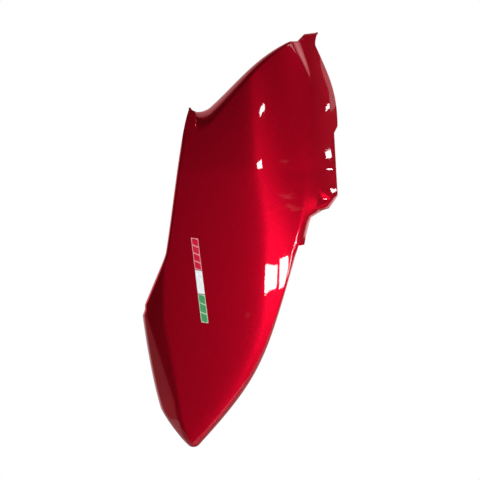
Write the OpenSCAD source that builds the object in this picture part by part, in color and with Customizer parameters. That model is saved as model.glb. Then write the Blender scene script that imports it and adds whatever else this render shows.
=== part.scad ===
// Side panel of a motorcycle body: one thin moulded shell with three thin stickers.
// X points to the right of the painted face, Z up, and the painted face looks along -Y.
// The origin is the root of the upper peg, which the panel hangs on.

/* [Outline, left side] */
// Radius of the rounded lower tip
tip_r = 11.5; // [9:0.5:14]
// Heel corner, left of the tip
heel_x = 47.5; // [43:0.5:51]
// Heel corner, above the tip
heel_z = 55; // [50:1:60]
// Hip corner, left of the tip
hip_x = 74; // [70:1:79]
// Hip corner, above the tip
hip_z = 190; // [180:1:196]
// Depth of the small step above the hip
hip_step = 3.5; // [2:0.5:5]
// Waist bend, left of the tip
waist_x = 43; // [39:1:47]
// Waist bend, above the tip
waist_z = 271; // [262:1:278]
// Ear, left of the tip
ear_x = 5.5; // [3:0.5:8]
// Ear, above the tip
ear_z = 491; // [487:1:499]

/* [Outline, right side] */
// Fullness of the lower curve, to the right
belly_x = 105; // [100:1:110]
// Fullness of the lower curve, upwards
belly_z = 128; // [122:1:134]
// Edge below the step, right of the tip
step_x = 151.5; // [147:0.5:154]
// Step above the lower curve, above the tip
step_z = 291; // [286:1:296]
// Width of the step
step_w = 8.5; // [7:0.5:10.5]
// Inner corner of the flange, right of the tip
root_x = 170; // [167:1:175]
// Inner corner of the flange, above the tip
root_z = 332; // [327:1:338]
// Outer edge of the flange, right of the tip
flange_x = 208.5; // [204:0.5:213]
// Lower corner of the flange, above the tip
flange_z = 363; // [357:1:369]
// Small notch in the flange edge, above the tip
notch_z = 459; // [450:1:469]
// Depth of the notch
notch_d = 5; // [3:0.5:6]
// Horn, right of the tip
horn_x = 180; // [176:1:186]
// Horn, above the tip
horn_z = 600; // [592:1:610]
// Saddle of the upper edge, below the ear
saddle_d = 7; // [5:0.5:9]
// Step of the upper edge up to the horn
horn_step = 11; // [8:0.5:13]

/* [Shoulder line] */
// Fullest point of the shoulder, right of the tip
bow_x = 110; // [105:1:114]
// Fullest point of the shoulder, above the tip
bow_z = 213; // [205:1:225]
// Shoulder below the horn, right of the tip
neck_x = 85; // [80:1:90]

/* [Shell] */
// Wall of the moulding
wall = 2.5; // [2:0.1:3]
// Lean of the broad left field
field_tilt = 17; // [13:0.5:21]
// Softness of the shoulder
shoulder_w = 11; // [8:0.5:15]
// Radius of the field right of the shoulder
crown_r = 165; // [155:1:190]
// Radius of the crown from tip to horn
length_r = 1400; // [1200:20:1800]
// Height of the fullest point above the tip
crest_z = 330; // [300:5:360]
// Extra lean of the small field below the waist
facet_tilt = 19; // [14:0.5:24]
// Extra lean of the chamfer between heel and hip
chamfer_tilt = 42; // [34:0.5:48]
// Widest place of the chamfer, across
chamfer_w = 21; // [17:0.5:25]
// Lean of the strip outside the right crease
strip_tilt = 33; // [27:0.5:40]
// Width of the rolled upper edge at the saddle
roll_w = 27; // [22:0.5:31]
// Width of the rolled upper edge near the horn
roll_end = 4; // [3:0.5:6]
// Drop of the rolled edge for each unit of width
roll_drop = 0.75; // [0.6:0.05:0.9]
// Width of the flat ear left of the rolled edge
ear_w = 10; // [8:0.5:13]
// Depth of the flute below the horn
flute_d = 10; // [7:0.5:13]
// Width of the flute at its upper end
flute_w = 18; // [14:0.5:22]
// Length of the flute
flute_l = 85; // [70:1:100]
// Radius of the turned edge
edge_r = 4; // [3.5:0.1:5]
// Radius of the flange's rounded lower edge
lower_r = 6.5; // [4:0.5:8]
// Depth of the turned edge behind its radius
return_d = 9; // [6:0.5:14]
// Height of the bead behind the plain edges
bead_h = 0.8; // [0.5:0.1:1.5]

/* [Dent] */
// Half width of the three-cornered dent in the flange
dent_r = 7; // [5:0.5:8]
// Depth of the dent
dent_d = 3.5; // [2:0.5:4.5]
// Dent, left of the flange's outer edge
dent_in = 22; // [20:0.5:25]
// Dent, below the flange's lower corner
dent_down = 5; // [2:0.5:6]

/* [Fixings] */
// Upper peg, above the tip
upper_peg_z = 440; // [415:5:450]
// Middle peg, above the tip
middle_peg_z = 300; // [270:5:320]
// Lower peg, above the tip
lower_peg_z = 130; // [120:5:150]
// Pegs, left of the shoulder
peg_in = 22; // [14:1:28]
// Radius of a peg
peg_r = 4; // [3.5:0.1:4.5]
// Free length of a peg
peg_l = 14; // [12:0.5:18]
// Bevel on the end of a peg
peg_bevel = 1.5; // [1:0.1:2]
// Radius of the collar that stops a grommet
collar_r = 6; // [5.5:0.1:6.5]
// Height of the collar above the inner face
collar_h = 8; // [7:0.5:10]
// Radius of a foot on the inner face
foot_r = 9; // [8:0.1:10]
// Height of a foot above the inner face
foot_h = 3; // [2.5:0.1:4]
// Screw boss, above the tip
boss_z = 525; // [510:5:535]
// Radius of the screw boss
boss_r = 5.5; // [5:0.1:6]
// Height of the screw boss above the inner face
boss_h = 17; // [15:0.5:20]
// Radius of the pilot hole for a tapping screw
pilot_r = 2; // [1.6:0.05:2.4]
// Depth of the pilot hole
pilot_l = 12; // [8:0.5:12]
// Width of a hook tongue on the left edge
tongue_w = 16; // [12:1:20]
// Reach of a hook tongue behind the turned edge
tongue_l = 11; // [8:0.5:14]
// Thickness of a hook tongue
tongue_t = 1.9; // [1.5:0.1:2]

/* [Stickers] */
// Width of the stickers
sticker_w = 10; // [8:0.5:12]
// Thickness of the vinyl
sticker_t = 0.2; // [0.15:0.05:0.4]
// Lean of the row of stickers
sticker_lean = 7; // [4:0.5:10]
// Height of the upper end above the tip
sticker_z = 302; // [290:1:310]
// Upper end, right of the tip
sticker_x = 1.5; // [-3:0.5:5]
// Length of the red sticker
red_l = 46; // [39:1:51]
// Length of the white sticker
white_l = 34; // [28:1:40]
// Length of the green sticker
green_l = 41; // [35:1:47]
// Gap between two stickers
sticker_gap = 1; // [0.6:0.1:2]

/* [Hidden] */
$fn = 48;
seat = 0.06;
slope_step = 0.5;

// Points on the outline, as [x, z] from the tip
nose_x = tip_r * 0.7;
nose_z = tip_r - sqrt(tip_r * tip_r - nose_x * nose_x);
heel = [-heel_x, heel_z];
hip = [-hip_x, hip_z];
waist = [-waist_x, waist_z];
ear = [-ear_x, ear_z];
horn = [horn_x, horn_z];

function bezier(a, b, c, d, n = 8) = [for (i = [0:n])
    let (t = i / n, s = 1 - t)
    s * s * s * a + 3 * s * s * t * b + 3 * s * t * t * c + t * t * t * d];

function by_height(points) = [for (p = points) [p[1], p[0]]];
function smooth(t) = let (c = max(0, min(1, t))) c * c * (3 - 2 * c);

left_edge = by_height(concat(
    bezier([-nose_x, nose_z], [-nose_x - 11, nose_z + 10], heel + [9.5, -18], heel),
    bezier(heel + [-0.3, 1], heel + [-11, 35], hip + [5.5, -44], hip),
    [hip + [hip_step, 9], hip + [hip_step, 16]],
    bezier(waist + [-6, -14], waist + [-2, -5], waist + [1.5, 4], waist + [3, 10], 4),
    bezier(waist + [3.3, 12], waist + [14, 79], ear + [-13, -30], ear)));

flank = horn_z - 19 - notch_z - 6;
right_edge = by_height(concat(
    bezier([nose_x, nose_z], [belly_x - 4, belly_z - 23], [belly_x, belly_z], [step_x, step_z], 14),
    [[step_x + step_w, step_z + 1.5]],
    [[root_x - 6, root_z - 21], [root_x - 3, root_z - 9], [root_x, root_z]],
    [[root_x + 16, root_z + 10], [root_x + 26, root_z + 13]],
    [[flange_x - 4, flange_z - 6], [flange_x, flange_z]],
    [[flange_x - notch_d, notch_z - 5], [flange_x, notch_z + 5]],
    bezier([flange_x, notch_z + 6], [flange_x - 0.5, notch_z + 6 + 0.41 * flank],
        horn + [17, -19 - 0.39 * flank], horn + [-3.6, -19]),
    bezier(horn + [-3.8, -17], horn + [-4, -12], horn + [-2.5, -6], horn, 4)));

upper_edge = concat(
    bezier(ear, ear + [6.5, -saddle_d - 3], ear + [22, -saddle_d - 1], ear + [32.5, 2.5]),
    bezier(ear + [33.5, 3.5], ear + [70, 37],
        horn + [-91, -horn_step - 27], horn + [-41, -horn_step - 2.7], 12),
    [horn + [-30, -horn_step - 2.4], horn + [-20, -2.8], horn]);

function left_x(z) = lookup(z, left_edge);
function right_x(z) = lookup(z, right_edge);
function upper_z(x) = lookup(x, upper_edge);

// How much longer a sideways step is than the step square to the edge
function left_stretch(z) = norm([1, (left_x(z + 2) - left_x(z - 2)) / 4]);
function right_stretch(z) = min(2.5, norm([1, (right_x(z + 2) - right_x(z - 2)) / 4]));
function upper_stretch(x) = norm([1, (upper_z(x + 2) - upper_z(x - 2)) / 4]);

// Lines along the panel, as x at a height
chamfer_line = by_height(concat(
    [[-nose_x + 4, nose_z]],
    bezier([-nose_x - 4, tip_r], heel + [chamfer_w + 5, -22],
        heel + [chamfer_w + 1, 0], heel + [chamfer_w, 12], 4),
    [hip + [6.5, 0], hip + [3, 10]],
    [waist + [-20, -40], waist + [2, 10], ear + [ear_w - 2.6, -60], ear + [ear_w - 1.4, -roll_w]]));
facet_line = by_height([[-nose_x + 6, nose_z], heel + [32, -15], hip + [49, -93], hip + [40, -50],
    waist + [1, -90], waist + [1, 0], waist + [9, 30], ear + [ear_w, -60], ear + [ear_w + 0.4, -roll_w]]);
shoulder_line = by_height(concat(
    bezier([nose_x, nose_z], [bow_x - 50, bow_z - 143], [bow_x - 10, bow_z - 93], [bow_x, bow_z], 8),
    bezier([bow_x + 0.2, bow_z + 3], [bow_x + 6, bow_z + 77],
        [neck_x + 29, horn_z - 270], [neck_x + 13, horn_z - 200], 8),
    [[neck_x + 7, horn_z - 130], [neck_x + 2, horn_z - 50], [neck_x, horn_z]]));
crease_line = by_height(concat(
    [[nose_x - 3, nose_z]],
    bezier([nose_x + 10, nose_z + 18], [belly_x - 17, belly_z - 26],
        [belly_x - 8, belly_z], [step_x - 20, step_z - 64], 8),
    [[step_x - 11, step_z - 12], [step_x - 4, step_z + 10], [step_x + 4, root_z]],
    bezier([step_x + 6, root_z + 20], [step_x + 14, root_z + 90], horn + [-6, -130], horn + [-8, -82], 6),
    bezier(horn + [-8, -80], horn + [-9, -55], horn + [-17, -40], horn + [-24.5, -10], 6)));

function chamfer_x(z) = lookup(z, chamfer_line);
function facet_x(z) = lookup(z, facet_line);
function shoulder_x(z) = lookup(z, shoulder_line);
function crease_x(z) = lookup(z, crease_line);
function flute_share(z) = smooth((z - horn_z + flute_l) / flute_l);
function flute_span(z) = 3 + (flute_w - 3) * flute_share(z);
function roll_span(x) = roll_end + (roll_w - roll_end) * max(0, min(1, (horn_x - 42 - x) / (horn_x - 54)));

// Depth of the painted face behind its fullest point, without the turned edge
function field(x, z) = let (d = x - shoulder_x(z))
    d < 0 ? tan(field_tilt) * (norm([d, shoulder_w]) - shoulder_w)
          : crown_r - sqrt(crown_r * crown_r - d * d);
function lean(a, soft, tilt) = a <= 0 ? 0 : tan(tilt) * (norm([a, soft]) - soft);
function low_share(z) = 1 - smooth((z - waist_z + 12) / 24);
function strip_share(z) = 1 - 0.75 * smooth((z - root_z + 18) / 50);
function flute(x, z) = let (w = flute_span(z)) flute_d * flute_share(z) * smooth((x - crease_x(z) + w) / w);
function roll(x, z) = let (w = roll_span(x), t = max(0, min(1, 1 - (upper_z(x) - z) / w)))
    smooth((x - ear_w + ear_x + 1.2) / 1.4) * w * roll_drop * (1 - sqrt(1 - 0.92 * t * t));
function dent(x, z) = let (p = [x - flange_x + dent_in, z - flange_z + dent_down])
    dent_d * max(0, 1 - max([for (turn = [60, 180, 300]) p * [cos(turn), sin(turn)]]) / dent_r);
function face(x, z) = pow(z - crest_z, 2) / (2 * length_r) + field(x, z)
    + lean(facet_x(z) - x, 4, facet_tilt * low_share(z))
    + lean(chamfer_x(z) - x, 0.5, chamfer_tilt * low_share(z))
    + lean(x - crease_x(z), 2, strip_tilt * strip_share(z))
    + flute(x, z) + roll(x, z) + dent(x, z);

// Share of the edge that is turned back: the ear, the upper edge and the flange's outer edge are plain,
// and the flange's lower edge is only rounded
function left_turn(z) = 1 - smooth((z - ear_z + 60) / 30);
function right_turn(z) = 1 - smooth((z - step_z + 16) / 12);
function lower_turn(z) = smooth((z - step_z - 5) / 8) * (1 - smooth((z - flange_z + 2) / 6));
function right_r(z) = edge_r + (lower_r - edge_r) * lower_turn(z);
function turn(r, e) = e >= r ? 0 : r - sqrt(max(0, r * r - pow(r - max(0, e), 2)));
function edge_turn(x, z, inset) =
    let (r = edge_r - inset, s = right_r(z) - inset, in_nose = abs(x) < 0.98 * (tip_r - z))
    in_nose ? turn(r, tip_r - norm([x, z - tip_r]) - inset)
            : max(left_turn(z) * turn(r, (x - left_x(z)) / left_stretch(z) - inset),
                  max(right_turn(z), lower_turn(z)) * turn(s, (right_x(z) - x) / right_stretch(z) - inset));

// Depth that the wall takes, measured straight back
function thickness(x, z) = wall * min(3, norm([1,
    (face(x + slope_step, z) - face(x - slope_step, z)) / (2 * slope_step),
    (face(x, z + slope_step) - face(x, z - slope_step)) / (2 * slope_step)]));
function depth(x, z, inset) = face(x, z) + edge_turn(x, z, inset) + (inset > 0 ? thickness(x, z) : 0);

// Rows of the shell, from the tip up: [height, share of the way to the rolled edge, share of that edge]
function steps(a, b, n) = [for (i = [1:n]) a + (b - a) * i / n];
turn_offsets = [0, 0.3, 1.1, 2.4, 4] / 4;
function inner_z(x) = upper_z(x) - roll_span(x);
low_rows = concat(
    steps(nose_z + edge_r, heel_z, 5), steps(heel_z, hip_z, 9), [hip_z + 9, hip_z + 16],
    steps(hip_z + 16, waist_z - 5, 4), [waist_z + 3], [step_z - 9, step_z, step_z + 1.5],
    steps(step_z + 1.5, root_z - 9, 2), [root_z]);
flange_rows = concat([root_z + 10, root_z + 13], steps(root_z + 13, flange_z, 3),
    steps(flange_z, notch_z - 5, 8), [notch_z + 5], steps(notch_z + 5, horn_z - roll_end, 12));
function share_at(z) = (z - root_z) / (inner_z(right_x(z)) - root_z);
function rows(inset) = concat(
    [for (t = turn_offsets) [nose_z + inset + t * (edge_r - inset), 0, 0]],
    [for (z = low_rows) [z, 0, 0]],
    [for (z = flange_rows) [0, min(1, share_at(z)), 0]],
    [for (k = [1:4]) [0, 1, k / 4]]);

function nose_arc(x) = let (c = max(-nose_x, min(nose_x, x))) tip_r - sqrt(tip_r * tip_r - c * c) - nose_z;
function row_z(row, x, inset) = row[1] == 0
    ? row[0] + nose_arc(x) * max(0, 1 - (row[0] - nose_z) / 22)
    : root_z + (inner_z(x) - root_z) * row[1] + max(0.3, roll_span(x) - inset * upper_stretch(x)) * row[2];

// Where a row meets a line that is given as x at a height
function meet_left(row, inset, x = 0, n = 5) = n == 0 ? x
    : let (z = row_z(row, x, inset)) meet_left(row, inset, left_x(z) + inset * left_stretch(z), n - 1);
function meet_right(row, inset, x = 190, n = 5) = n == 0 ? x
    : let (z = row_z(row, x, inset)) meet_right(row, inset, right_x(z) - inset * right_stretch(z), n - 1);
function meet_line(row, which, x = 100, n = 5) = n == 0 ? x
    : let (z = row_z(row, x, 0),
           line = [chamfer_x(z), facet_x(z), shoulder_x(z), crease_x(z) - flute_span(z), crease_x(z)])
      meet_line(row, which, line[which], n - 1);

// Columns between two turned edges: cells from each line to the next
cells = [2, 3, 8, 4, 2, 6];
function spread(stops, i = 0) = [for (k = [0:len(stops) - 2]) for (c = [0:cells[k] - 1])
    stops[k] + (stops[k + 1] - stops[k]) * c / cells[k]];
function in_order(stops, gap, i = 1) = i >= len(stops) - 1 ? stops
    : let (low = stops[i - 1] + gap, high = stops[len(stops) - 1] - gap * (len(stops) - 1 - i))
      in_order([for (k = [0:len(stops) - 1]) k == i ? max(low, min(high, stops[k])) : stops[k]], gap, i + 1);
function columns(row, inset) =
    let (x0 = meet_left(row, inset), x1 = meet_right(row, inset),
         z0 = row_z(row, x0, inset), z1 = row_z(row, x1, inset),
         tight = min(1, (x1 - x0) / (5 * edge_r)),
         a = [for (t = turn_offsets) x0 + t * (edge_r - inset) * left_stretch(z0) * tight],
         b = [for (k = [4:-1:0]) x1 - turn_offsets[k] * (right_r(z1) - inset) * right_stretch(z1) * tight],
         stops = concat([a[4]], [for (w = [0:4]) meet_line(row, w)], [b[0]]))
    concat([for (k = [0:3]) a[k]], spread(in_order(stops, (b[0] - a[4]) / 26)), b);

function skin(inset) = [for (row = rows(inset)) [for (x = columns(row, inset))
    let (z = row_z(row, x, inset)) [x, depth(x, z, inset), z]]];
function flat_list(grid) = [for (line = grid) for (p = line) p];
function quad(a, b, c, d) = [[a, b, c], [a, c, d]];

// Places of the fixings, as [x, z]. The root of the upper peg is the origin
pegs = [for (z = [upper_peg_z, middle_peg_z, lower_peg_z]) [shoulder_x(z) - peg_in, z]];
boss_at = [shoulder_x(boss_z), boss_z];
tongues = [ear_z - 160, ear_z - 100];
function mid_wall(p) = [p[0], face(p[0], p[1]) + thickness(p[0], p[1]) / 2, p[1]];
function wall_normal(p) = let (h = 4) [
    -(face(p[0] + h, p[1]) - face(p[0] - h, p[1])) / (2 * h), 1,
    -(face(p[0], p[1] + h) - face(p[0], p[1] - h)) / (2 * h)];
function seat_of(p, height) = mid_wall(p) + [0, thickness(p[0], p[1]) / 2 + height, 0];
origin = seat_of(pegs[0], collar_h);
for (p = pegs) echo(peg = seat_of(p, collar_h) - origin);
echo(boss = seat_of(boss_at, boss_h) - origin);

module shell() {
    outer = skin(0);
    inner = skin(wall);
    nr = len(outer);
    nc = len(outer[0]);
    ng = nr * nc;
    loop = concat([for (j = [0:nc - 2]) j], [for (i = [0:nr - 2]) i * nc + nc - 1],
        [for (j = [nc - 1:-1:1]) (nr - 1) * nc + j], [for (i = [nr - 1:-1:1]) i * nc]);
    m = len(loop);
    front = flat_list(outer);
    back = flat_list(inner);
    function turned(p) = p[0] < 60 && p[2] < upper_z(p[0]) - 1 ? left_turn(p[2]) : right_turn(p[2]);
    ends = [for (k = loop) max(front[k][1], back[k][1]) + bead_h + return_d * turned(front[k])];
    outer_ring = [for (k = [0:m - 1]) [front[loop[k]][0], ends[k], front[loop[k]][2]]];
    inner_ring = [for (k = [0:m - 1]) [back[loop[k]][0], ends[k], back[loop[k]][2]]];
    faces = concat(
        [for (i = [0:nr - 2]) for (j = [0:nc - 2]) let (p = i * nc + j)
            each quad(p, p + nc, p + nc + 1, p + 1)],
        [for (i = [0:nr - 2]) for (j = [0:nc - 2]) let (p = ng + i * nc + j)
            each quad(p, p + 1, p + nc + 1, p + nc)],
        [for (k = [0:m - 1]) let (n = (k + 1) % m, o = 2 * ng)
            each concat(quad(loop[k], loop[n], o + n, o + k),
                quad(o + k, o + n, o + m + n, o + m + k),
                quad(o + m + k, o + m + n, ng + loop[n], ng + loop[k]))]);
    polyhedron(concat(front, back, outer_ring, inner_ring), faces);
}

// Stands its children on the middle of the wall, square to it, with +Z to the back
module on_wall(p) {
    n = wall_normal(p);
    translate(mid_wall(p))
        rotate([acos(n[2] / norm(n)), 0, atan2(n[0], -n[1])])
            children();
}

// Lays its children's +Z along the way to the back
module backwards(p) {
    translate(p)
        rotate([-90, 0, 0])
            children();
}

module foot(p) {
    on_wall(p)
        cylinder(r = foot_r, h = wall / 2 + foot_h);
}

module peg(p) {
    stop = seat_of(p, collar_h);
    foot(p);
    backwards(stop - [0, collar_h - 0.4, 0])
        cylinder(r = collar_r, h = collar_h - 0.4);
    backwards(stop - [0, 1, 0])
        cylinder(r = peg_r, h = peg_l + 1);
    backwards(stop + [0, peg_l, 0])
        cylinder(r1 = peg_r, r2 = peg_r - peg_bevel, h = peg_bevel);
}

module screw_boss(p) {
    foot(p);
    backwards(seat_of(p, 0.4))
        cylinder(r = boss_r, h = boss_h - 0.4);
}

module pilot_hole(p) {
    backwards(seat_of(p, boss_h - pilot_l))
        cylinder(r = pilot_r, h = pilot_l + 1);
}

// A flat tongue that stands inside the turned edge and hooks into a slot
module tongue(z) {
    lean = atan((left_x(z + tongue_w / 2) - left_x(z - tongue_w / 2)) / tongue_w);
    back = face(left_x(z), z) + edge_r + return_d;
    translate([left_x(z), back - 5, z])
        rotate([0, lean, 0])
            translate([(wall - tongue_t) / 2 + 0.1, 0, -tongue_w / 2])
                cube([tongue_t, tongue_l + 5, tongue_w]);
}

module panel() {
    color([0.62, 0.02, 0.06])
        difference() {
            union() {
                shell();
                for (p = pegs) peg(p);
                screw_boss(boss_at);
                for (z = tongues) tongue(z);
            }
            pilot_hole(boss_at);
        }
}

module sticker(start, length) {
    along = [sin(sticker_lean), -cos(sticker_lean)];
    across = [cos(sticker_lean), sin(sticker_lean)];
    n = 8;
    at = [for (i = [0:n]) for (j = [0:2])
        [sticker_x, sticker_z] + along * (start + length * i / n + (j - 1) * sticker_w * 0.12)
            + across * (j - 1) * sticker_w / 2];
    low = [for (p = at) [p[0], face(p[0], p[1]) - seat, p[1]]];
    top = [for (p = low) p - [0, sticker_t, 0]];
    count = len(at);
    last = 3 * n;
    loop = concat([for (i = [0:n - 1]) 3 * i], [last, last + 1], [for (i = [n:-1:1]) 3 * i + 2], [2, 1]);
    polyhedron(concat(top, low), concat(
        [for (i = [0:n - 1]) for (j = [0:1]) let (p = 3 * i + j) each quad(p, p + 1, p + 4, p + 3)],
        [for (i = [0:n - 1]) for (j = [0:1]) let (p = count + 3 * i + j) each quad(p, p + 3, p + 4, p + 1)],
        [for (k = [0:len(loop) - 1]) let (a = loop[k], b = loop[(k + 1) % len(loop)])
            each quad(a, b, count + b, count + a)]));
}

module sticker_red() {
    color([0.8, 0.1, 0.12])
        sticker(0, red_l);
}

module sticker_white() {
    color([0.95, 0.95, 0.93])
        sticker(red_l + sticker_gap, white_l);
}

module sticker_green() {
    color([0.1, 0.5, 0.2])
        sticker(red_l + white_l + 2 * sticker_gap, green_l);
}

translate(-origin) {
    panel();
    sticker_red();
    sticker_white();
    sticker_green();
}
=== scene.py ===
import bisect
from math import atan, cos, hypot, pi, radians, sin, sqrt, tan

import bmesh
import bpy
from mathutils import Matrix, Quaternion, Vector


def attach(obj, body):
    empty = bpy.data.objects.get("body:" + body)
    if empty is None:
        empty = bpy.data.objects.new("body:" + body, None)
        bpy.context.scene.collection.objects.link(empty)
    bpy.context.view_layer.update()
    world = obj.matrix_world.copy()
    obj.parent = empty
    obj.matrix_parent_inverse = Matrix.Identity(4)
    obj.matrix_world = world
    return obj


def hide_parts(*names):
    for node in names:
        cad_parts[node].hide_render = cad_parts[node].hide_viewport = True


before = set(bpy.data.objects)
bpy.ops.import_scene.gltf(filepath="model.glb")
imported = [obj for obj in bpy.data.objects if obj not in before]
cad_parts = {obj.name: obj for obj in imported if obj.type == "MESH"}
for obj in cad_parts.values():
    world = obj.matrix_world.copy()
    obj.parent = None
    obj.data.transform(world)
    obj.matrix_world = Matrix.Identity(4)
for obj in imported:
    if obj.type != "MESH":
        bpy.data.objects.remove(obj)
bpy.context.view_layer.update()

print("frame loaded, nodes:", ", ".join(sorted(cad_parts)))

# Sizes in millimetres from the lower tip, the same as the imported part's: x to the right, z up
outline = {
    "tipRadius": 11.5,
    "noseShare": 0.7,  # of the tip's radius, where the sides leave its arc
    "noseSlope": 0.98,  # of the rays that bound the arc
    "heel": (-47.5, 55),
    "hip": (-74, 190),
    "hipStep": 3.5,
    "waist": (-43, 271),
    "ear": (-5.5, 491),
    "belly": (105, 128),
    "step": (151.5, 291),
    "stepWidth": 8.5,
    "root": (170, 332),
    "flange": (208.5, 363),
    "notch": 459,
    "notchDepth": 5,
    "notchReach": 6,
    "horn": (180, 600),
    "hornSide": 19,
    "saddle": 7,
    "hornStep": 11,
    "bow": (110, 213),
    "neck": 85,
}
shell = {
    "wall": 2.5,
    "fieldTilt": 17,
    "shoulderWidth": 11,
    "crownRadius": 165,
    "lengthRadius": 1400,
    "crest": 330,
    "facetTilt": 19,
    "facetSoftness": 4,
    "chamferTilt": 42,
    "chamferSoftness": 0.5,
    "chamferWidth": 21,
    "stripTilt": 33,
    "stripSoftness": 2,
    "stripLoss": 0.75,  # share of the tilt that the strip loses above the root
    "rollWidth": 27,
    "rollEnd": 4,
    "rollFrom": 42,  # left of the horn, where the roll starts to widen
    "rollFull": 12,  # x at which it has its full width
    "rollDrop": 0.75,
    "rollCurl": 0.92,
    "earWidth": 10,
    "earBlend": 1.4,
    "earLap": 1.2,
    "fluteDepth": 10,
    "fluteStart": 3,
    "fluteWidth": 18,
    "fluteLength": 85,
    "edgeRadius": 4,
    "lowerRadius": 6.5,
    "returnDepth": 9,
    "mostStretch": 9,  # most that a slanting edge widens its own turn
    "rightStretch": 2.5,  # the same for the right edge's turn
    "thickest": 3,  # walls, where the face is steep
    "bead": 0.8,
    "dentRadius": 7,
    "dentDepth": 3.5,
    "dentIn": 22,
    "dentDown": 5,
    "dentSides": (60, 180, 300),
    "divide": 60,  # left of it an edge point belongs to the left edge
}
# Where a form fades along the height: how far below its point it starts, and over what length
fades = {
    "facets": (12, 24),  # at the waist
    "strip": (18, 50),  # at the root
    "leftTurn": (60, 30),  # at the ear
    "rightTurn": (16, 12),  # at the step
    "lowerTurnIn": (-5, 8),  # at the step
    "lowerTurnOut": (2, 6),  # at the flange
}
cells = {
    "fineness": 3,  # cells in the render mesh for each cell of the solid
    "turn": 8,
    "roll": 12,
    "columns": (2, 3, 8, 4, 2, 6),  # of the solid, between the lines of the face
    "bands": 26,  # no band of columns gets narrower than the width over this
    "tight": 5,  # edge radii across, below which the turns' columns draw in
    "arcFade": 22,  # height over which the rows leave the nose's arc
    "rounds": 12,
}


def bezier(a, b, c, d, n=24):
    points = []
    for i in range(n + 1):
        t = i / n
        s = 1 - t
        w = (s * s * s, 3 * s * s * t, 3 * s * t * t, t * t * t)
        points.append(tuple(sum(k * p[axis] for k, p in zip(w, (a, b, c, d))) for axis in (0, 1)))
    return points


def by(p, dx, dz):
    return (p[0] + dx, p[1] + dz)


def makeLine(points, byHeight=True):
    keys = [p[1] if byHeight else p[0] for p in points]
    values = [p[0] if byHeight else p[1] for p in points]

    def at(key):
        if key <= keys[0]:
            return values[0]
        if key >= keys[-1]:
            return values[-1]
        i = bisect.bisect_right(keys, key)
        t = (key - keys[i - 1]) / (keys[i] - keys[i - 1])
        return values[i - 1] + (values[i] - values[i - 1]) * t

    return at


def clamp(value, low=0.0, high=1.0):
    return max(low, min(high, value))


def smooth(t):
    c = clamp(t)
    return c * c * (3 - 2 * c)


tipRadius = outline["tipRadius"]
noseX = tipRadius * outline["noseShare"]
noseZ = tipRadius - sqrt(tipRadius ** 2 - noseX ** 2)
heel, hip, waist, ear, horn, belly, bow = [outline[key] for key in
                                           ("heel", "hip", "waist", "ear", "horn", "belly", "bow")]
rootX, rootZ = outline["root"]
flangeX, flangeZ = outline["flange"]
stepX, stepZ = outline["step"]
notch, notchReach, hornSide = [outline[key] for key in ("notch", "notchReach", "hornSide")]
hipStep, hornStep, saddle, neck = [outline[key] for key in ("hipStep", "hornStep", "saddle", "neck")]
chamferWidth, earWidth, rollWidth = shell["chamferWidth"], shell["earWidth"], shell["rollWidth"]
flank = horn[1] - hornSide - notch - notchReach

leftX = makeLine(
    bezier((-noseX, noseZ), (-noseX - 11, noseZ + 10), by(heel, 9.5, -18), heel)
    + bezier(by(heel, -0.3, 1), by(heel, -11, 35), by(hip, 5.5, -44), hip)
    + [by(hip, hipStep, 9), by(hip, hipStep, 16)]
    + bezier(by(waist, -6, -14), by(waist, -2, -5), by(waist, 1.5, 4), by(waist, 3, 10), 12)
    + bezier(by(waist, 3.3, 12), by(waist, 14, 79), by(ear, -13, -30), ear))
rightX = makeLine(
    bezier((noseX, noseZ), by(belly, -4, -23), belly, (stepX, stepZ), 40)
    + [(stepX + outline["stepWidth"], stepZ + 1.5)]
    + [(rootX - 6, rootZ - 21), (rootX - 3, rootZ - 9), (rootX, rootZ)]
    + [(rootX + 16, rootZ + 10), (rootX + 26, rootZ + 13), (flangeX - 4, flangeZ - 6), (flangeX, flangeZ)]
    + [(flangeX - outline["notchDepth"], notch - 5), (flangeX, notch + 5)]
    + bezier((flangeX, notch + notchReach), (flangeX - 0.5, notch + notchReach + 0.41 * flank),
             by(horn, 17, -hornSide - 0.39 * flank), by(horn, -3.6, -hornSide))
    + bezier(by(horn, -3.8, -17), by(horn, -4, -12), by(horn, -2.5, -6), horn))
upperZ = makeLine(
    bezier(ear, by(ear, 6.5, -saddle - 3), by(ear, 22, -saddle - 1), by(ear, 32.5, 2.5))
    + bezier(by(ear, 33.5, 3.5), by(ear, 70, 37),
             by(horn, -91, -hornStep - 27), by(horn, -41, -hornStep - 2.7), 40)
    + [by(horn, -30, -hornStep - 2.4), by(horn, -20, -2.8), horn], byHeight=False)
chamferX = makeLine(
    [(-noseX + 4, noseZ)]
    + bezier((-noseX - 4, tipRadius), by(heel, chamferWidth + 5, -22),
             by(heel, chamferWidth + 1, 0), by(heel, chamferWidth, 12))
    + [by(hip, 6.5, 0), by(hip, 3, 10), by(waist, -20, -40), by(waist, 2, 10)]
    + [by(ear, earWidth - 2.6, -60), by(ear, earWidth - 1.4, -rollWidth)])
facetX = makeLine(
    [(-noseX + 6, noseZ), by(heel, 32, -15), by(hip, 49, -93), by(hip, 40, -50)]
    + [by(waist, 1, -90), by(waist, 1, 0)]
    + [by(waist, 9, 30), by(ear, earWidth, -60), by(ear, earWidth + 0.4, -rollWidth)])
shoulderX = makeLine(
    bezier((noseX, noseZ), by(bow, -50, -143), by(bow, -10, -93), bow)
    + bezier(by(bow, 0.2, 3), by(bow, 6, 77), (neck + 29, horn[1] - 270), (neck + 13, horn[1] - 200))
    + [(neck + 7, horn[1] - 130), (neck + 2, horn[1] - 50), (neck, horn[1])])
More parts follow.
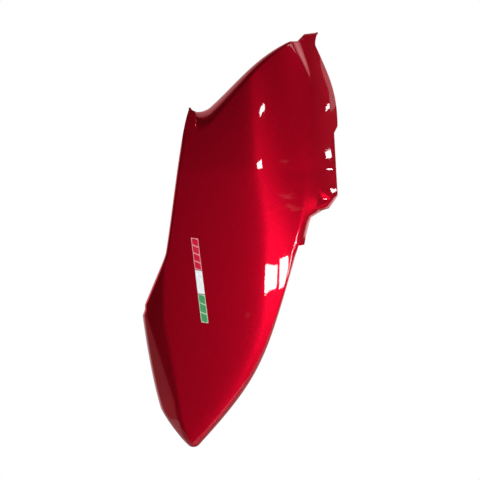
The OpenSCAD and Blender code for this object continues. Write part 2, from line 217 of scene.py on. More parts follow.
creaseX = makeLine(
    [(noseX - 3, noseZ)]
    + bezier((noseX + 10, noseZ + 18), by(belly, -17, -26), by(belly, -8, 0), (stepX - 20, stepZ - 64))
    + [(stepX - 11, stepZ - 12), (stepX - 4, stepZ + 10), (stepX + 4, rootZ)]
    + bezier((stepX + 6, rootZ + 20), (stepX + 14, rootZ + 90), by(horn, -6, -130), by(horn, -8, -82))
    + bezier(by(horn, -8, -80), by(horn, -9, -55), by(horn, -17, -40), by(horn, -24.5, -10)))


def fade(name, z, level):
    below, length = fades[name]
    return smooth((z - level + below) / length)


def fluteShare(z):
    return smooth((z - horn[1] + shell["fluteLength"]) / shell["fluteLength"])


def fluteSpan(z):
    return shell["fluteStart"] + (shell["fluteWidth"] - shell["fluteStart"]) * fluteShare(z)


def rollSpan(x):
    start = horn[0] - shell["rollFrom"]
    share = clamp((start - x) / (start - shell["rollFull"]))
    return shell["rollEnd"] + (rollWidth - shell["rollEnd"]) * share


def lean(a, soft, tilt):
    # a plane that starts to tilt at a = 0, over a soft start
    return 0 if a <= 0 else tan(radians(tilt)) * (hypot(a, soft) - soft)


def field(x, z):
    d = x - shoulderX(z)
    if d < 0:
        return lean(-d, shell["shoulderWidth"], shell["fieldTilt"])
    return shell["crownRadius"] - sqrt(shell["crownRadius"] ** 2 - d * d)


def flute(x, z):
    w = fluteSpan(z)
    return shell["fluteDepth"] * fluteShare(z) * smooth((x - creaseX(z) + w) / w)


def roll(x, z):
    w = rollSpan(x)
    t = clamp(1 - (upperZ(x) - z) / w)
    pastEar = smooth((x - earWidth - ear[0] + shell["earLap"]) / shell["earBlend"])
    return pastEar * w * shell["rollDrop"] * (1 - sqrt(1 - shell["rollCurl"] * t * t))


def dent(x, z):
    px, pz = x - flangeX + shell["dentIn"], z - flangeZ + shell["dentDown"]
    out = max(px * cos(radians(a)) + pz * sin(radians(a)) for a in shell["dentSides"])
    return shell["dentDepth"] * max(0, 1 - out / shell["dentRadius"])


def face(x, z):
    # how far back the painted face lies
    lower = 1 - fade("facets", z, waist[1])
    strip = 1 - shell["stripLoss"] * fade("strip", z, rootZ)
    return ((z - shell["crest"]) ** 2 / (2 * shell["lengthRadius"]) + field(x, z)
            + lean(facetX(z) - x, shell["facetSoftness"], shell["facetTilt"] * lower)
            + lean(chamferX(z) - x, shell["chamferSoftness"], shell["chamferTilt"] * lower)
            + lean(x - creaseX(z), shell["stripSoftness"], shell["stripTilt"] * strip)
            + flute(x, z) + roll(x, z) + dent(x, z))


def stretch(line, key, most=shell["mostStretch"]):
    # how much wider a slanting edge's turn is along x than across the edge
    return min(most, hypot(1, (line(key + 2) - line(key - 2)) / 4))


def leftTurn(z):
    return 1 - fade("leftTurn", z, ear[1])


def rightTurn(z):
    return 1 - fade("rightTurn", z, stepZ)


def lowerTurn(z):
    return fade("lowerTurnIn", z, stepZ) * (1 - fade("lowerTurnOut", z, flangeZ))


def rightRadius(z):
    return shell["edgeRadius"] + (shell["lowerRadius"] - shell["edgeRadius"]) * lowerTurn(z)


def turn(r, e):
    return 0 if e >= r else r - sqrt(max(0, r * r - (r - max(0, e)) ** 2))


def edgeTurn(x, z):
    r = shell["edgeRadius"]
    if abs(x) < outline["noseSlope"] * (tipRadius - z):
        return turn(r, tipRadius - hypot(x, z - tipRadius))
    fromRight = (rightX(z) - x) / stretch(rightX, z, shell["rightStretch"])
    return max(leftTurn(z) * turn(r, (x - leftX(z)) / stretch(leftX, z)),
               max(rightTurn(z), lowerTurn(z)) * turn(rightRadius(z), fromRight))


def thickness(x, z):
    h = 0.5
    slopeX = (face(x + h, z) - face(x - h, z)) / (2 * h)
    slopeZ = (face(x, z + h) - face(x, z - h)) / (2 * h)
    return shell["wall"] * min(shell["thickest"], sqrt(1 + slopeX ** 2 + slopeZ ** 2))


def midWall(x, z):
    return Vector((x, face(x, z) + thickness(x, z) / 2, z))


def wallNormal(x, z, h=4):
    return Vector((-(face(x + h, z) - face(x - h, z)) / (2 * h), 1,
                   -(face(x, z + h) - face(x, z - h)) / (2 * h))).normalized()


def seatOf(x, z, height):
    return midWall(x, z) + Vector((0, thickness(x, z) / 2 + height, 0))


fixings = {
    "pegHeights": {"pegUpper": 440, "pegMiddle": 300, "pegLower": 130},
    "pegIn": 22,
    "pegRadius": 4,
    "pegLength": 14,
    "pegBevel": 1.5,
    "postStart": 0.4,  # where a peg or boss starts behind the inner face
    "collarRadius": 6,
    "collarHeight": 8,
    "footRadius": 9,
    "footHeight": 3,
    "bossAt": 525,
    "bossRadius": 5.5,
    "bossHeight": 17,
    "pilotRadius": 2,
    "pilotDepth": 12,
    "hookHeights": {"hookUpper": 391, "hookLower": 331},
    "hookWidth": 16,
    "hookLength": 11,
    "hookThickness": 1.9,
    "hookRoot": 5,  # length inside the turned edge
    "hookInset": 0.1,
    "round": 0.4,
    "roundCells": 3,
    "sides": 40,
}
pegPlaces = {name: (shoulderX(z) - fixings["pegIn"], z) for name, z in fixings["pegHeights"].items()}
origin = seatOf(*pegPlaces["pegUpper"], fixings["collarHeight"])


def toFrame(p):
    return (Vector(p) - origin) / 1000


# Rows and columns of the shell, finer than the solid's: each stretch of rows with its count
def steps(a, b, n):
    return [a + (b - a) * i / n for i in range(1, n + 1)]


fine = cells["fineness"]
turnOffsets = [1 - cos(pi / 2 * k / cells["turn"]) for k in range(cells["turn"] + 1)]
lowRows = (steps(noseZ + shell["edgeRadius"], heel[1], 5 * fine) + steps(heel[1], hip[1], 9 * fine)
           + steps(hip[1], hip[1] + 9, 4) + steps(hip[1] + 9, hip[1] + 16, 3)
           + steps(hip[1] + 16, waist[1] - 5, 4 * fine) + steps(waist[1] - 5, stepZ - 3, 3 * fine)
           + [stepZ, stepZ + 0.75, stepZ + 1.5] + steps(stepZ + 1.5, rootZ - 9, 3 * fine)
           + steps(rootZ - 9, rootZ, 4))
flangeRows = (steps(rootZ, rootZ + 10, 4) + steps(rootZ + 10, rootZ + 13, 3) + steps(rootZ + 13, flangeZ, 9)
              + steps(flangeZ, notch - 5, 8 * fine) + steps(notch - 5, notch + 5, 5)
              + steps(notch + 5, horn[1] - shell["rollEnd"], 12 * fine))


def innerZ(x):
    return upperZ(x) - rollSpan(x)


def rowList():
    # each row is (height, share of the way from the root to the roll, share of the roll)
    found = [(noseZ + k * shell["edgeRadius"], 0, 0) for k in turnOffsets]
    found += [(z, 0, 0) for z in lowRows]
    found += [(0, min(1, (z - rootZ) / (innerZ(rightX(z)) - rootZ)), 0) for z in flangeRows]
    found += [(0, 1, sin(pi / 2 * k / cells["roll"])) for k in range(1, cells["roll"] + 1)]
    return found


def rowZ(row, x):
    level, share, ofRoll = row
    if share == 0:
        c = clamp(x, -noseX, noseX)
        arc = tipRadius - sqrt(tipRadius ** 2 - c * c) - noseZ
        return level + arc * max(0, 1 - (level - noseZ) / cells["arcFade"])
    return rootZ + (innerZ(x) - rootZ) * share + rollSpan(x) * ofRoll


def meet(row, line, x):
    # where a sloping row crosses a line, found by going back and forth between them
    for _ in range(cells["rounds"]):
        x = line(rowZ(row, x))
    return x


def columnsOf(row):
    x0, x1 = meet(row, leftX, 0), meet(row, rightX, horn[0])
    tight = min(1, (x1 - x0) / (cells["tight"] * shell["edgeRadius"]))
    left = shell["edgeRadius"] * stretch(leftX, rowZ(row, x0)) * tight
    right = rightRadius(rowZ(row, x1)) * stretch(rightX, rowZ(row, x1), shell["rightStretch"]) * tight
    a = [x0 + k * left for k in turnOffsets]
    b = [x1 - k * right for k in reversed(turnOffsets)]
    stops = [a[-1]]
    for line in (chamferX, facetX, shoulderX, lambda z: creaseX(z) - fluteSpan(z), creaseX):
        stops.append(meet(row, line, bow[0]))
    stops.append(b[0])
    gap = (b[0] - a[-1]) / cells["bands"]
    for i in range(1, len(stops) - 1):
        stops[i] = max(stops[i - 1] + gap, min(stops[-1] - gap * (len(stops) - 1 - i), stops[i]))
    found = a[:-1]
    for k, count in enumerate(cells["columns"]):
        count *= fine
        found += [stops[k] + (stops[k + 1] - stops[k]) * c / count for c in range(count)]
    return found + b


sharpAngle = radians(38)  # edges that turn more than this stay sharp


def meshObject(name, bm, materials):
    mesh = bpy.data.meshes.new(name)
    bm.to_mesh(mesh)
    bm.free()
    piece = bpy.data.objects.new(name, mesh)
    bpy.context.scene.collection.objects.link(piece)
    for material in materials:
        mesh.materials.append(material)
    return piece


def buildShell():
    rows = rowList()
    grid = [[(x, rowZ(row, x)) for x in columnsOf(row)] for row in rows]
    wide, tall = len(grid[0]), len(grid)
    bm = bmesh.new()
    bmesh.ops.create_grid(bm, x_segments=wide - 1, y_segments=tall - 1, size=1)
    for v in bm.verts:
        j = round((v.co.x + 1) / 2 * (wide - 1))
        i = round((v.co.y + 1) / 2 * (tall - 1))
        x, z = grid[i][j]
        v.co = (x, face(x, z) + edgeTurn(x, z), z)
    bm.normal_update()
    # the rim goes straight back from the outline, far where the edge is turned, else by the wall
    edge = [e for e in bm.edges if e.is_boundary]
    made = bmesh.ops.extrude_edge_only(bm, edges=edge)["geom"]
    for v in [g for g in made if isinstance(g, bmesh.types.BMVert)]:
        x, z = v.co.x, v.co.z
        upper = z > upperZ(x) - 1
        turned = 0 if upper else leftTurn(z) if x < shell["divide"] else rightTurn(z)
        straight = thickness(x, z)
        v.co.y += shell["bead"] + shell["returnDepth"] * turned + straight * (1 - turned)
    bmesh.ops.recalc_face_normals(bm, faces=bm.faces)
    outward = sum(f.normal.y * f.calc_area() for f in bm.faces)
    if outward > 0:
        bmesh.ops.reverse_faces(bm, faces=bm.faces)
    outer = set(bm.faces)
    bmesh.ops.solidify(bm, geom=list(bm.faces), thickness=shell["wall"])
    for f in bm.faces:
        f.material_index = 0 if f in outer else 1
        f.smooth = True
    # how far each point lies from the outline, for the overspray on the back
    margin = bm.verts.layers.float.new("margin")
    for v in bm.verts:
        x, z = v.co.x, v.co.z
        fromLeft, fromRight = (x - leftX(z)) / stretch(leftX, z), (rightX(z) - x) / stretch(rightX, z)
        v[margin] = min(fromLeft, fromRight, upperZ(x) - z)
        v.co = toFrame(v.co)
    return bm


def nodeMaterial(name):
    material = bpy.data.materials.new(name)
    material.use_nodes = True
    tree = material.node_tree
    return material, tree, tree.nodes["Principled BSDF"]


def add(tree, kind, inputs=None, **settings):
    node = tree.nodes.new("ShaderNode" + kind)
    for key, value in settings.items():
        setattr(node, key, value)
    for key, value in (inputs or {}).items():
        if isinstance(value, bpy.types.NodeSocket):
            tree.links.new(value, node.inputs[key])
        else:
            node.inputs[key].default_value = value
    return node


def calc(tree, operation, a, b=0.0):
    return add(tree, "Math", {0: a, 1: b}, operation=operation).outputs[0]


def remap(tree, value, low, high, start=0.0, end=1.0):
    span = {"Value": value, "From Min": low, "From Max": high, "To Min": start, "To Max": end}
    return add(tree, "MapRange", span, interpolation_type="SMOOTHSTEP").outputs["Result"]


def mixColour(tree, share, a, b):
    node = add(tree, "Mix", data_type="RGBA")
    for socket, value in ((node.inputs[0], share), (node.inputs[6], a), (node.inputs[7], b)):
        if isinstance(value, bpy.types.NodeSocket):
            tree.links.new(value, socket)
        else:
            socket.default_value = value
    return node.outputs[2]


def noise(tree, place, scale, detail=3.0, roughness=0.5):
    values = {"Vector": place, "Scale": scale, "Detail": detail, "Roughness": roughness}
    return add(tree, "TexNoise", values).outputs[0]


def stretched(tree, place, scale, angle=0.0):
    return add(tree, "Mapping", {"Vector": place, "Scale": scale, "Rotation": (0, angle, 0)}).outputs[0]


def bump(tree, height, distance, strength=1.0, normal=None):
    node = add(tree, "Bump", {"Height": height, "Distance": distance, "Strength": strength})
    if normal is not None:
        tree.links.new(normal, node.inputs["Normal"])
    return node.outputs[0]


def setSockets(shader, values):
    for key, value in values.items():
        shader.inputs[key].default_value = value


paintLook = {
    "red": (0.4, 0.0, 0.011, 1),
    "flakeLight": (0.49, 0.0, 0.0165, 1),
    "flakeDark": (0.33, 0.0, 0.0075, 1),
    "dust": (0.5, 0.16, 0.15, 1),
    "shader": {"Metallic": 0.88, "Specular IOR Level": 0.1, "Coat Weight": 1.0, "Coat Roughness": 0.025,
               "Coat IOR": 1.42},
    "flakeSize": 0.0006,
    "flakeRelief": 0.00001,
    "roughness": (0.41, 0.49),
    "peel": 0.00002,  # depth of the orange peel in the clear coat
    "dustLevel": 0.25,
    "wipeLevel": 0.4,
    "dustRoughness": 0.4,
    # x, z and how much wider than tall each smudge is
    "smudges": ((0.006, -0.249, 0.7), (0.064, -0.077, 2.2), (0.06, -0.028, 1.3), (0.07, -0.094, 2.5)),
    "smudgeLevel": 0.07,
    "smudgeReach": (0.0005, 0.006),
    "smudgeRagged": 0.016,
}


def makePaint():
    material, tree, shader = nodeMaterial("candyRedPaint")
    look = paintLook
    place = add(tree, "TexCoord").outputs["Object"]
    flakes = add(tree, "TexVoronoi", {"Vector": place, "Scale": 1 / look["flakeSize"]}).outputs["Color"]
    flake = add(tree, "SeparateColor", {0: flakes})
    colour = mixColour(tree, remap(tree, flake.outputs[0], 0.1, 0.9), look["flakeDark"], look["flakeLight"])
    cloud = remap(tree, noise(tree, place, 9, 2), 0.35, 0.65)
    colour = mixColour(tree, calc(tree, "MULTIPLY", cloud, 0.35), colour, look["red"])
    # fine dust and wiping marks in the clear coat
    specks = remap(tree, noise(tree, place, 900, 2), 0.74, 0.8)
    patches = remap(tree, noise(tree, place, 14, 3), 0.45, 0.75)
    wipes = remap(tree, noise(tree, stretched(tree, place, (40, 40, 500), 0.5), 1.0, 4, 0.6), 0.62, 0.8)
    wipes = calc(tree, "MULTIPLY", wipes, look["wipeLevel"])
    dust = calc(tree, "MULTIPLY", calc(tree, "ADD", specks, wipes), patches)
    dust = calc(tree, "MULTIPLY", dust, look["dustLevel"])
    ragged = calc(tree, "SUBTRACT", noise(tree, stretched(tree, place, (70, 70, 240)), 1.0, 4), 0.5)
    ragged = calc(tree, "MULTIPLY", ragged, look["smudgeRagged"])
    for x, z, wide in look["smudges"]:
        offset = add(tree, "VectorMath", {0: place, 1: (x, 0, z)}, operation="SUBTRACT").outputs[0]
        squashed = stretched(tree, offset, (1 / wide, 0, 1))
        away = add(tree, "VectorMath", {0: squashed}, operation="LENGTH").outputs["Value"]
        mark = remap(tree, calc(tree, "ADD", away, ragged), *look["smudgeReach"], look["smudgeLevel"], 0.0)
        dust = calc(tree, "MAXIMUM", dust, mark)
    tree.links.new(mixColour(tree, dust, colour, look["dust"]), shader.inputs["Base Color"])
    rough = remap(tree, flake.outputs[1], 0, 1, *look["roughness"])
    rough = calc(tree, "ADD", rough, calc(tree, "MULTIPLY", dust, look["dustRoughness"]))
    tree.links.new(rough, shader.inputs["Roughness"])
    tree.links.new(bump(tree, noise(tree, place, 260, 1), look["peel"], 0.5), shader.inputs["Coat Normal"])
    tree.links.new(bump(tree, flake.outputs[2], look["flakeRelief"], 0.35), shader.inputs["Normal"])
    setSockets(shader, look["shader"])
    return material


plasticLook = {
    "plastic": (0.018, 0.018, 0.02, 1),
    "worn": (0.05, 0.048, 0.048, 1),
    "scuff": (0.16, 0.16, 0.16, 1),
    "overspray": (0.2, 0.004, 0.012, 1),
    "reach": 13,  # millimetres that the overspray goes in from the outline
    "roughness": (0.42, 0.6),
    "grain": 0.00006,  # depths in metres
    "flow": 0.0002,
    "specular": 0.4,
}


def makePlastic(name, sprayed):
    material, tree, shader = nodeMaterial(name)
    look = plasticLook
    place = add(tree, "TexCoord").outputs["Object"]
    flow = remap(tree, noise(tree, stretched(tree, place, (18, 18, 5)), 1.0, 4, 0.6), 0.4, 0.75)
    colour = mixColour(tree, calc(tree, "MULTIPLY", flow, 0.5), look["plastic"], look["worn"])
    scuffs = remap(tree, noise(tree, stretched(tree, place, (60, 60, 700), 0.9), 1.0, 3, 0.6), 0.66, 0.8)
    colour = mixColour(tree, calc(tree, "MULTIPLY", scuffs, 0.3), colour, look["scuff"])
    rough = remap(tree, noise(tree, place, 60, 3), 0.3, 0.7, *look["roughness"])
    if sprayed:
        margin = add(tree, "Attribute", attribute_name="margin").outputs["Fac"]
        drift = calc(tree, "MULTIPLY", noise(tree, place, 45, 4), look["reach"])
        spray = remap(tree, calc(tree, "SUBTRACT", margin, drift), look["reach"] * 0.7, -1)
        grains = remap(tree, noise(tree, place, 1500, 1), 0.35, 0.6)
        spray = calc(tree, "MULTIPLY", spray, calc(tree, "MAXIMUM", grains, spray))
        colour = mixColour(tree, spray, colour, look["overspray"])
    tree.links.new(colour, shader.inputs["Base Color"])
    tree.links.new(rough, shader.inputs["Roughness"])
    grain = bump(tree, noise(tree, place, 1400, 2), look["grain"], 0.5)
    waves = bump(tree, noise(tree, place, 90, 2), look["flow"], 0.25, grain)
    tree.links.new(waves, shader.inputs["Normal"])
    setSockets(shader, {"Specular IOR Level": look["specular"]})
    return material


paint = makePaint()
back = makePlastic("mouldedBack", True)
plain = makePlastic("mouldedFixings", False)
panel = meshObject("sidePanel", buildShell(), [paint, back])
panel.data.set_sharp_from_angle(angle=sharpAngle)
print("shell", len(panel.data.polygons), "faces")


def lathe(bm, profile, matrix):
    # profile points are (radius, height), from the axis round to the axis
    verts = [bm.verts.new((r, 0, h)) for r, h in profile]
    edges = [bm.edges.new(pair) for pair in zip(verts, verts[1:])]
    known = set(bm.verts) - set(verts)
    bmesh.ops.spin(bm, geom=verts + edges, cent=(0, 0, 0), axis=(0, 0, 1), angle=2 * pi,
                   steps=fixings["sides"], use_merge=True)
    made = [v for v in bm.verts if v not in known]
    bmesh.ops.remove_doubles(bm, verts=made, dist=0.0001)
    made = [v for v in bm.verts if v not in known]
    bmesh.ops.recalc_face_normals(bm, faces=list({f for v in made for f in v.link_faces}))
    for v in made:
        v.co = matrix @ v.co


def rounded(points):
    # the same profile with each inner corner cut to a small arc
    radius, count = fixings["round"], fixings["roundCells"]
    found = [points[0]]
    for a, b, c in zip(points, points[1:], points[2:]):
        before, corner, after = Vector(a), Vector(b), Vector(c)
        start = corner + (before - corner).normalized() * radius
        end = corner + (after - corner).normalized() * radius
        for i in range(count + 1):
            t = i / count
            found.append(tuple(start * (1 - t) ** 2 + corner * 2 * t * (1 - t) + end * t * t))
    return found + [points[-1]]


def onWall(x, z):
    normal = wallNormal(x, z)
    return Matrix.Translation(midWall(x, z)) @ normal.to_track_quat("Z", "X").to_matrix().to_4x4()


def backwards(x, z):
    # +Z of the profile goes straight back, from the inner face
    return Matrix.Translation(seatOf(x, z, 0)) @ Matrix.Rotation(-pi / 2, 4, "X")


def buildFoot(bm, x, z):
    f = fixings
    top = shell["wall"] / 2 + f["footHeight"]
    profile = [(0, 0), (f["footRadius"], 0), (f["footRadius"], top), (0, top)]
    lathe(bm, rounded(profile), onWall(x, z))


def buildPeg(x, z):
    f = fixings
    stop, end = f["collarHeight"], f["collarHeight"] + f["pegLength"]
    tip = f["pegRadius"] - f["pegBevel"]
    profile = [(0, f["postStart"]), (f["collarRadius"], f["postStart"]), (f["collarRadius"], stop),
               (f["pegRadius"], stop), (f["pegRadius"], end), (tip, end + f["pegBevel"]),
               (0, end + f["pegBevel"])]
    bm = bmesh.new()
    buildFoot(bm, x, z)
    lathe(bm, rounded(profile), backwards(x, z))
    return bm


def buildBoss(x, z):
    f = fixings
    top, bottom = f["bossHeight"], f["bossHeight"] - f["pilotDepth"]
    profile = [(0, f["postStart"]), (f["bossRadius"], f["postStart"]), (f["bossRadius"], top),
               (f["pilotRadius"], top), (f["pilotRadius"], bottom), (0, bottom)]
    bm = bmesh.new()
    buildFoot(bm, x, z)
    lathe(bm, rounded(profile), backwards(x, z))
    return bm


def buildHook(z):
    f = fixings
    width, thick, long = f["hookWidth"], f["hookThickness"], f["hookLength"] + f["hookRoot"]
    slope = atan((leftX(z + width / 2) - leftX(z - width / 2)) / width)
    start = face(leftX(z), z) + shell["edgeRadius"] + shell["returnDepth"] - f["hookRoot"]
    across = (shell["wall"] - thick) / 2 + f["hookInset"] + thick / 2
    matrix = (Matrix.Translation((leftX(z), start, z)) @ Matrix.Rotation(slope, 4, "Y")
              @ Matrix.Translation((across, long / 2, 0)))
    bm = bmesh.new()
    bmesh.ops.create_cube(bm, size=1)
    for v in bm.verts:
        v.co = (v.co.x * thick, v.co.y * long, v.co.z * width)
    bmesh.ops.bevel(bm, geom=list(bm.edges), offset=f["round"], affect="EDGES",
                    segments=f["roundCells"], profile=0.5, material=-1)
    for v in bm.verts:
        v.co = matrix @ v.co
    return bm


mouldings = {name: buildPeg(*place) for name, place in pegPlaces.items()}
mouldings["screwBoss"] = buildBoss(shoulderX(fixings["bossAt"]), fixings["bossAt"])
for name, height in fixings["hookHeights"].items():
    mouldings[name] = buildHook(height)
panelPieces = [panel]
for name, bm in mouldings.items():
    for v in bm.verts:
        v.co = toFrame(v.co)
    for f in bm.faces:
        f.smooth = True
    piece = meshObject(name, bm, [plain])
    piece.data.set_sharp_from_angle(angle=sharpAngle)
    panelPieces.append(piece)
for piece in panelPieces:
    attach(piece, "root")
    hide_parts("panel")
print("fixings", len(panelPieces) - 1)

stickers = {
    "width": 10,
    "film": 0.2,
    "seat": 0.06,
    "lean": 7,
    "top": (1.5, 302),
    "gap": 1,
    "lengths": {"red": 46, "white": 34, "green": 41},
    "colours": {
        "red": (0.66, 0.01, 0.045, 1),
        "white": (0.95, 0.95, 0.94, 1),
        "green": (0.06, 0.32, 0.11, 1),
    },
    "borders": {
        "red": (0.85, 0.32, 0.34, 1),
        "white": (0.9, 0.88, 0.87, 1),
        "green": (0.5, 0.68, 0.5, 1),
    },
    "blocks": {"red": 4, "white": 1, "green": 3},
    "scratch": (0.35, 0.2, 0.2, 1),
    "dulling": {"border": 0.85, "ink": 0.86},  # how dark the worn spots of each are
    "shader": {"Coat Weight": 0.6, "Coat Roughness": 0.06},
    "roughness": (0.22, 0.34),
    "relief": 0.00003,
    "borderWidth": 0.08,  # share of the width
    "slant": 0.35,
    "skew": 0.12,  # how far the ends lean, as a share of twice the width
}


def toNearEnd(tree, value):
    # from a value that goes from 0 to 1, the distance to the nearer of the two
    return calc(tree, "MINIMUM", value, calc(tree, "SUBTRACT", 1.0, value))


def darker(colour, share):
    return tuple(c * share for c in colour[:3]) + (1,)


def makeVinyl(name, length):
    # a field of one colour in slanted blocks, each inside a pale outline
    material, tree, shader = nodeMaterial(name + "Vinyl")
    look = stickers
    colour, count = look["colours"][name], look["blocks"][name]
    uv = add(tree, "SeparateXYZ", {0: add(tree, "UVMap", uv_map="print").outputs[0]})
    along, across = uv.outputs[0], uv.outputs[1]
    place = add(tree, "TexCoord").outputs["Object"]
    edge = look["borderWidth"]
    fromMiddle = calc(tree, "SUBTRACT", across, 0.5)
    slant = calc(tree, "MULTIPLY", fromMiddle, look["slant"] * look["width"] / length)
    shifted = calc(tree, "SUBTRACT", along, slant)
    inBlock = calc(tree, "FRACT", calc(tree, "MULTIPLY", shifted, count))
    block = length / count / look["width"]
    toBlock = calc(tree, "MULTIPLY", toNearEnd(tree, inBlock), block)
    toTip = calc(tree, "MULTIPLY", toNearEnd(tree, along), length / look["width"])
    nearest = calc(tree, "MINIMUM", calc(tree, "MINIMUM", toBlock, toNearEnd(tree, across)), toTip)
    inside = remap(tree, nearest, edge, edge * 1.35)
    border = look["borders"][name]
    wornBorder = remap(tree, noise(tree, place, 250, 3), 0.3, 0.7)
    wornInk = remap(tree, noise(tree, place, 400, 3), 0.35, 0.7)
    pale = mixColour(tree, wornBorder, border, darker(border, look["dulling"]["border"]))
    ink = mixColour(tree, wornInk, colour, darker(colour, look["dulling"]["ink"]))
    mixed = mixColour(tree, inside, pale, ink)
    scratch = remap(tree, noise(tree, stretched(tree, place, (120, 120, 1600), 0.4), 1.0, 2), 0.66, 0.72)
    mixed = mixColour(tree, calc(tree, "MULTIPLY", scratch, 0.25), mixed, look["scratch"])
    tree.links.new(mixed, shader.inputs["Base Color"])
    rough = remap(tree, noise(tree, place, 80, 2), 0.3, 0.7, *look["roughness"])
    tree.links.new(rough, shader.inputs["Roughness"])
    tree.links.new(bump(tree, inside, look["relief"], 0.6), shader.inputs["Normal"])
    setSockets(shader, look["shader"])
    return material


def buildSticker(start, length):
    s = stickers
    angle = radians(s["lean"])
    down, right = Vector((sin(angle), -cos(angle))), Vector((cos(angle), sin(angle)))
    bm = bmesh.new()
    bmesh.ops.create_grid(bm, x_segments=30, y_segments=6, size=0.5, calc_uvs=False)
    layer = bm.loops.layers.uv.new("print")
    for f in bm.faces:
        for loop in f.loops:
            loop[layer].uv = (loop.vert.co.x + 0.5, loop.vert.co.y + 0.5)
    for v in bm.verts:
        u, w = v.co.x + 0.5, v.co.y
        below = start + length * u + w * 2 * s["width"] * s["skew"]
        p = Vector(s["top"]) + down * below + right * (w * s["width"])
        v.co = (p.x, face(p.x, p.y) - s["seat"] - s["film"], p.y)
    bm.normal_update()
    if sum(f.normal.y for f in bm.faces) > 0:
        bmesh.ops.reverse_faces(bm, faces=bm.faces)
    bmesh.ops.solidify(bm, geom=list(bm.faces), thickness=s["film"])
    for f in bm.faces:
        f.smooth = True
    for v in bm.verts:
        v.co = toFrame(v.co)
    return bm


start = 0
for name, length in stickers["lengths"].items():
    vinyl = makeVinyl(name, length)
    piece = meshObject("sticker" + name.capitalize(), buildSticker(start, length), [vinyl])
    piece.data.set_sharp_from_angle(angle=sharpAngle)
    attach(piece, "root")
    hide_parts("sticker_" + name)
    start += length + stickers["gap"]
print("stickers", len(stickers["lengths"]))

view = {
    "distance": 12.0,
    "pixels": 480,
    "pixel": 1.446,  # millimetres for each pixel of the photograph
    "tip": (193.5, 447),  # where the tip lies in the photograph
    "depth": 50,  # of the plane that has this scale, behind the crest of the face
    "sensor": 36,
}


def addCamera():
    camera = bpy.data.cameras.new("camera")
    camera.sensor_width = view["sensor"]
    camera.lens = view["sensor"] * view["distance"] * 1000 / (view["pixels"] * view["pixel"])
    camera.clip_end = 100
    holder = bpy.data.objects.new("camera", camera)
    bpy.context.scene.collection.objects.link(holder)
    middle, (tipX, tipZ) = view["pixels"] / 2, view["tip"]
    centre = toFrame(((middle - tipX) * view["pixel"], view["depth"], (tipZ - middle) * view["pixel"]))
    holder.location = (centre.x, centre.y - view["distance"], centre.z)
    holder.rotation_euler = (pi / 2, 0, 0)
    bpy.context.scene.camera = holder


addCamera()
print("camera", view["distance"], "m away")

# Each lamp as seen from the part, with 0 degrees on the camera's side and + to the right:
# middle and size in degrees, tilt, distance in metres, radiance, colour
lampCentre = (115, 0, 250)
lamps = {
    "windowLeft": ((-7, -7.3), (27, 5.4), 2.2, 0.9, 36, (0.93, 0.97, 1.0)),
    "windowRight": ((13.8, -6.7), (9.5, 7), -6, 0.9, 36, (0.93, 0.97, 1.0)),
    "sideWindow": ((56, -8), (14, 12), 0, 0.9, 36, (0.95, 0.98, 1.0)),
    "upperWindow": ((50, 40), (20, 12), 0, 1.5, 4, (0.95, 0.98, 1.0)),
    "lampUpper": ((5, 22.9), (6, 1.1), -14, 1.5, 36, (1, 1, 1)),
    "lampMiddle": ((-8, 12), (14, 1.6), -8, 1.5, 36, (1, 1, 1)),
    "lampFlange": ((86.6, 13.9), (6, 0.9), 0, 1.5, 36, (1, 1, 1)),
    "lampFlangeTop": ((90.5, 19), (4, 0.6), 0, 1.5, 30, (1, 1, 1)),
    "leftGlow": ((-108, 6), (24, 24), 0, 1.5, 1.8, (1, 0.3, 0.4)),
    "rightGlow": ((125, -12), (30, 26), 0, 0.6, 2, (1, 0.95, 0.96)),
    "fluteStrip": ((106, 30), (24, 24), 0, 1.5, 1.6, (0.98, 0.98, 1.0)),
}


def aimed(azimuth, elevation):
    a, e = radians(azimuth), radians(elevation)
    return Vector((sin(a) * cos(e), -cos(a) * cos(e), sin(e)))


def addLamps():
    middle = toFrame(lampCentre)
    for name, ((azimuth, elevation), (wide, tall), tilt, distance, radiance, colour) in lamps.items():
        lamp = bpy.data.lights.new(name, "AREA")
        lamp.shape = "RECTANGLE"
        lamp.size = 2 * distance * tan(radians(wide / 2))
        lamp.size_y = 2 * distance * tan(radians(tall / 2))
        lamp.energy = radiance * pi * lamp.size * lamp.size_y
        lamp.color = colour
        item = bpy.data.objects.new(name, lamp)
        out = aimed(azimuth, elevation)
        item.location = middle + out * distance
        turned = out.to_track_quat("Z", "Y") @ Quaternion((0, 0, 1), radians(-tilt))
        item.rotation_euler = turned.to_euler()
        item.visible_camera = False
        bpy.context.scene.collection.objects.link(item)


addLamps()
print("lamps", len(lamps))

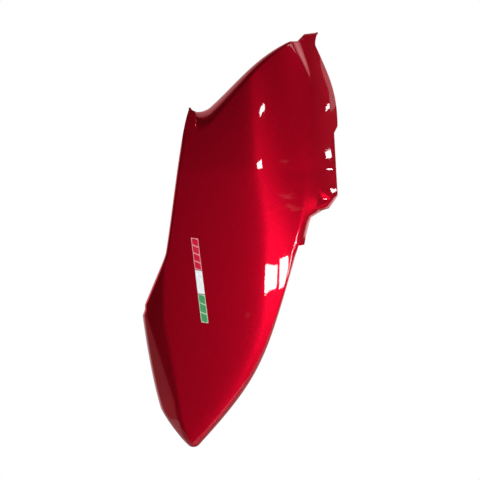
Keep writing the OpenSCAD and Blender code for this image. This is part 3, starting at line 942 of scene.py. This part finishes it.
room = {
    "behind": (-0.05, 0.75, 0.55),  # towards the pale wall and ceiling behind the part
    "edge": (0.34, 0.46),  # where the backdrop fades in, as a cosine from its middle
    "bright": 0.5,  # level of the backdrop as light
    "dim": 0.02,  # level of the rest of the room
}


def makeRoom():
    world = bpy.data.worlds.new("room")
    bpy.context.scene.world = world
    world.use_nodes = True
    tree = world.node_tree
    ray = add(tree, "TexCoord").outputs["Generated"]
    behind = Vector(room["behind"]).normalized()
    toBack = add(tree, "VectorMath", {0: ray, 1: behind}, operation="DOT_PRODUCT").outputs["Value"]
    backdrop = remap(tree, toBack, *room["edge"])
    # white for the camera, and for reflections that look towards the backdrop
    path = add(tree, "LightPath").outputs
    shown = calc(tree, "MAXIMUM", path["Is Glossy Ray"], path["Is Transmission Ray"])
    level = calc(tree, "MULTIPLY", backdrop, calc(tree, "MAXIMUM", shown, room["bright"]))
    level = calc(tree, "MAXIMUM", calc(tree, "MAXIMUM", level, room["dim"]), path["Is Camera Ray"])
    tree.links.new(level, tree.nodes["Background"].inputs["Strength"])
    tree.nodes["Background"].inputs["Color"].default_value = (1, 1, 1, 1)


makeRoom()
print("room lit")

floor = {
    "height": -0.51,
    "x": (-0.6, 0.6),
    "y": (-0.45, 0.45),
    "colour": (0.9, 0.9, 0.9, 1),
    "cloud": (0.86, 0.86, 0.87, 1),
    "roughness": 0.7,
}


def buildFloor():
    bm = bmesh.new()
    bmesh.ops.create_grid(bm, x_segments=1, y_segments=1, size=0.5)
    (x0, x1), (y0, y1) = floor["x"], floor["y"]
    for v in bm.verts:
        v.co = (x0 + (x1 - x0) * (v.co.x + 0.5), y0 + (y1 - y0) * (v.co.y + 0.5), floor["height"])
    material, tree, shader = nodeMaterial("studioFloor")
    place = add(tree, "TexCoord").outputs["Object"]
    cloud = remap(tree, noise(tree, place, 3, 3), 0.3, 0.7)
    tree.links.new(mixColour(tree, cloud, floor["colour"], floor["cloud"]), shader.inputs["Base Color"])
    setSockets(shader, {"Roughness": floor["roughness"]})
    return meshObject("studioFloor", bm, [material])


buildFloor()
print("floor laid")
bpy.context.scene.view_settings.view_transform = "Standard"
